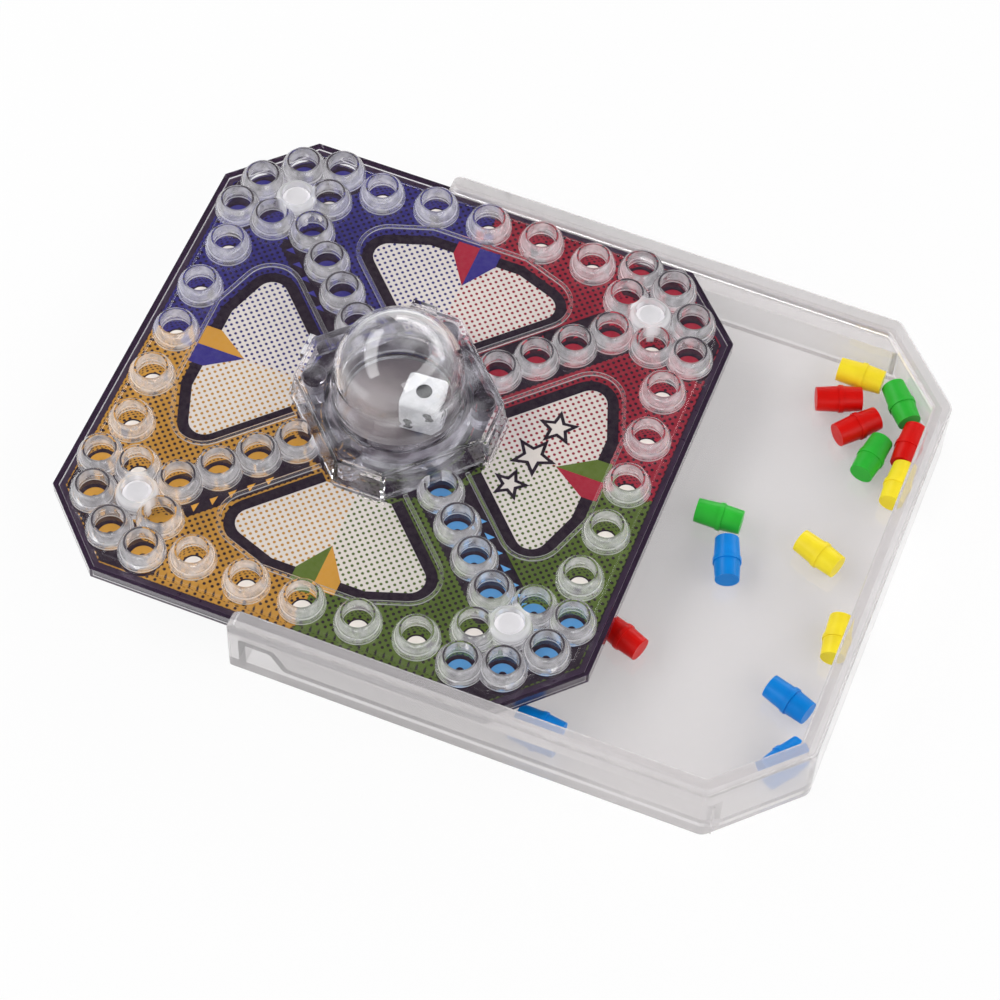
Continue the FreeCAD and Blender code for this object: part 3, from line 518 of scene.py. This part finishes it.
def window_marks():
    """A two-colour lozenge at the outer edge of each window."""
    wide, half = LOZENGE_OUT, LOZENGE_HALF
    point, end = wide - LOZENGE_POINT, wide + LOZENGE_END
    first = [(point, 0.0), (wide, -half), (end, -half), (end, 0.0)]
    second = [(point, 0.0), (end, 0.0), (end, half), (wide, half)]
    for k in range(4):
        halves = (("a", QUARTERS[(k + 1) % 4], first), ("b", QUARTERS[k], second))
        for letter, (name, colour, _), area in halves:
            ink = flat_ink("lozenge_ink_%s%d" % (letter, k), shade(colour, LOZENGE_SHADE))
            printed("lozenge_%s_%d" % (name, k), ink, 3, areas=[turned(area, k)])


def stars():
    """Three outlined stars in one window."""
    parts = (("star_edges", flat_ink("star_edge_ink", INK), 3, STAR_EDGE_GROWS),
             ("star_middles", flat_ink("star_white", PAPER), 4, STAR_MIDDLE_GROWS))
    for name, ink, layer, grows in parts:
        printed(name, ink, layer,
                areas=[star(centre, reach + grows, turn) for centre, reach, turn in STARS])


def spots():
    """The spot that shows in each peg pocket: white with a dark rim on the track, and in the
    quarter's spot colour with a dark dot at home, on the finish row and on the start ring."""
    track = [p for k in range(4) for p in turned(SIDE_ROW, k)]
    track += [p for k in range(4) for p in at_corner([TURN_RING], k)]
    coloured = []
    for k, (name, _, colour) in enumerate(QUARTERS):
        own = at_corner(HOME_RINGS + FINISH_ROW + [START_RING], k)
        printed("home_spots_" + name, flat_ink("spot_ink_" + name, colour), 5,
                areas=[disc(p, HOME_SPOT) for p in own])
        coloured += own
    rim = flat_ink("rim_ink", INK)
    printed("home_spot_dots", rim, 6, areas=[disc(p, HOME_DOT) for p in coloured])
    printed("track_spot_rims", rim, 4, areas=[disc(p, TRACK_RIM) for p in track])
    printed("track_spots", flat_ink("spot_white", PAPER), 5,
            areas=[disc(p, TRACK_SPOT) for p in track])


def die_pips():
    """Inked pips on the six faces of the die, opposite faces adding to seven."""
    low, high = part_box("die")
    centre = (low + high) / 2
    out = (high.z - low.z) / 2 + LAYER * MM
    spin = Matrix.Rotation(DIE_TURN, 3, "Z")
    faces = [((0, 0, 1), (1, 0, 0), 1), ((0, -1, 0), (1, 0, 0), 2), ((1, 0, 0), (0, 1, 0), 3),
             ((0, 0, -1), (1, 0, 0), 6), ((0, 1, 0), (1, 0, 0), 5), ((-1, 0, 0), (0, 1, 0), 4)]
    bm = bmesh.new()
    for normal, side, count in faces:
        n, u = Vector(normal), Vector(side)
        v = n.cross(u)
        radius = LONE_PIP_RADIUS if count == 1 else PIP_RADIUS
        for a, b in PIP_PLACES[count]:
            middle = (u * a + v * b) * PIP_STEP * MM + n * out
            ring = [middle + (u * x + v * y) * MM for x, y in disc((0.0, 0.0), radius, count=24)]
            bm.faces.new([bm.verts.new(centre + spin @ point) for point in ring])
    mesh = bpy.data.meshes.new("die_pips")
    bm.to_mesh(mesh)
    bm.free()
    ink = moulded("pip_ink", (0.010, 0.009, 0.012), 0.7, Specular_IOR_Level=0.1)
    new_piece("die_pips", mesh, ink, "die")


# ---------------------------------------------------------------- materials of the CAD nodes
def dress_nodes():
    looks = {
        "tray": clear_plastic("tray_plastic", (0.75, 0.73, 0.73), clear=0.72, smear=0.2),
        "top_plate": clear_plastic("top_plastic", (0.955, 0.95, 0.96), milk_and_sheen=painted_ring_sheen,
                                   foot=PLATE_FOOT, contact=PLATE_UNDER),
        "pop_dome": clear_plastic("dome_plastic", (0.98, 0.98, 0.985), smear=0.03, milk_and_sheen=painted_dome_hoops),
        "base_plate": moulded("base_plastic", BASE, 0.32),
        "die_floor": die_floor_painted_light(),
        "die": moulded("die_plastic", (0.56, 0.56, 0.575), 0.25),
    }
    pin = moulded("pin_plastic", (0.68, 0.665, 0.68), 0.5, Subsurface_Weight=0.5,
                  Subsurface_Radius=(0.002, 0.002, 0.002))
    peg_looks = {colour: moulded("peg_" + colour, value, 0.36, Specular_IOR_Level=0.18)
                 for colour, value in PEGS.items()}
    for name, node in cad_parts.items():
        if name in looks:
            node.data.materials[0] = looks[name]
        elif name.startswith("corner_pin"):
            node.data.materials[0] = pin
        elif name.startswith("peg_"):
            node.data.materials[0] = peg_looks[name.split("_")[1]]


def redrawn(name, node, look, lift=0.0):
    """A piece with a CAD node's own shape, lifted by so much, that stands for that node."""
    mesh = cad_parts[node].data.copy()
    mesh.name = name
    mesh.transform(Matrix.Translation((0.0, 0.0, lift * MM)))
    mesh.materials.clear()
    piece = new_piece(name, mesh, look, "board")
    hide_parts(node)
    return piece


def redrawn_nodes():
    """The housing stands a hair above the plate's top, so that both faces stay clear. The snap
    spring is redrawn in spring steel, with a mesh of its own."""
    housing = clear_plastic("housing_plastic", (0.92, 0.91, 0.95), milk_and_sheen=housing_milk)
    redrawn("die_housing", "dome_housing", housing, lift=HOUSING_LIFT)
    steel = moulded("spring_steel", (0.6, 0.6, 0.58), 0.3, Metallic=1.0)
    spring = redrawn("snap_disc", "snap_spring", steel)
    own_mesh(spring)


# ---------------------------------------------------------------- stage, lamps, camera
def stage():
    """A plain pale floor that keeps a soft shadow. Straight, mirrored and refracted views of it
    are mostly plain white."""
    bpy.ops.mesh.primitive_plane_add(size=6.0, location=(0.0, 0.0, -0.02 * MM))
    floor = bpy.context.object
    floor.name = "floor"
    s = Shader("floor_pale")
    lit = s.principled(Base_Color=(0.84, 0.835, 0.83), Roughness=0.9)
    glow = s.plain("Emission", (1.0, 1.0, 1.0), 1.0)
    seen = s.math("MAXIMUM", s.ray("Is Camera Ray"),
                  s.math("MAXIMUM", s.ray("Is Glossy Ray"), s.ray("Is Transmission Ray")))
    floor.data.materials.append(s.done(s.mixed(s.math("MULTIPLY", seen, 0.92), lit, glow)))


def lamps():
    """Long low soft boxes, which clear plastic mirrors as thin bands."""
    for name, place, size, power in LAMPS:
        data = bpy.data.lights.new(name, "AREA")
        data.shape, data.energy = "RECTANGLE", power
        data.size, data.size_y = size
        obj = bpy.data.objects.new(name, data)
        bpy.context.scene.collection.objects.link(obj)
        obj.location = place
        aim = Vector(LAMP_AIM) - Vector(place)
        obj.rotation_euler = aim.to_track_quat("-Z", "Y").to_euler()


def studio():
    """Pale surroundings, dimmer towards straight above."""
    world = bpy.data.worlds.new("studio")
    bpy.context.scene.world = world
    world.use_nodes = True
    tree = world.node_tree
    place = tree.nodes.new("ShaderNodeTexCoord")
    axes = tree.nodes.new("ShaderNodeSeparateXYZ")
    rise = tree.nodes.new("ShaderNodeMapRange")
    for name, value in (("From Min", 0.15), ("From Max", 0.72), ("To Min", 0.95), ("To Max", 0.14)):
        rise.inputs[name].default_value = value
    back = tree.nodes["Background"]
    back.inputs["Color"].default_value = (0.96, 0.97, 1.0, 1.0)
    tree.links.new(place.outputs["Generated"], axes.inputs[0])
    tree.links.new(axes.outputs["Z"], rise.inputs["Value"])
    tree.links.new(rise.outputs[0], back.inputs["Strength"])


def camera():
    data = bpy.data.cameras.new("camera")
    data.sensor_width = 36.0
    data.sensor_fit = "HORIZONTAL"
    data.lens = FOCAL_SHARE * data.sensor_width
    data.clip_start, data.clip_end = 0.01, 20.0
    turn, high, roll = (math.radians(a) for a in (VIEW_TURN, VIEW_HEIGHT, VIEW_ROLL))
    back = Vector((math.sin(turn) * math.cos(high), -math.cos(turn) * math.cos(high), math.sin(high)))
    right = (-back).cross(Vector((0, 0, 1))).normalized()
    up = right.cross(-back)
    right, up = (right * math.cos(roll) + up * math.sin(roll),
                 up * math.cos(roll) - right * math.sin(roll))
    aim = (Vector(VIEW_AIM) + BOARD) * MM
    obj = bpy.data.objects.new("camera", data)
    bpy.context.scene.collection.objects.link(obj)
    facing = Matrix((right, up, back)).transposed()
    obj.matrix_world = Matrix.Translation(aim + back * VIEW_AWAY * MM) @ facing.to_4x4()
    bpy.context.scene.camera = obj


dress_nodes()
redrawn_nodes()
card_ground()
windows()
finish_bands()
middle_ground()
window_marks()
stars()
spots()
die_pips()
stage()
lamps()
studio()
camera()
bpy.context.scene.view_settings.view_transform = "Standard"
bpy.context.scene.cycles.max_bounces = 24
bpy.context.scene.cycles.transmission_bounces = 24
bpy.context.scene.cycles.transparent_max_bounces = 32


def corners(box):
    return [list(map(float, corner)) for corner in box]
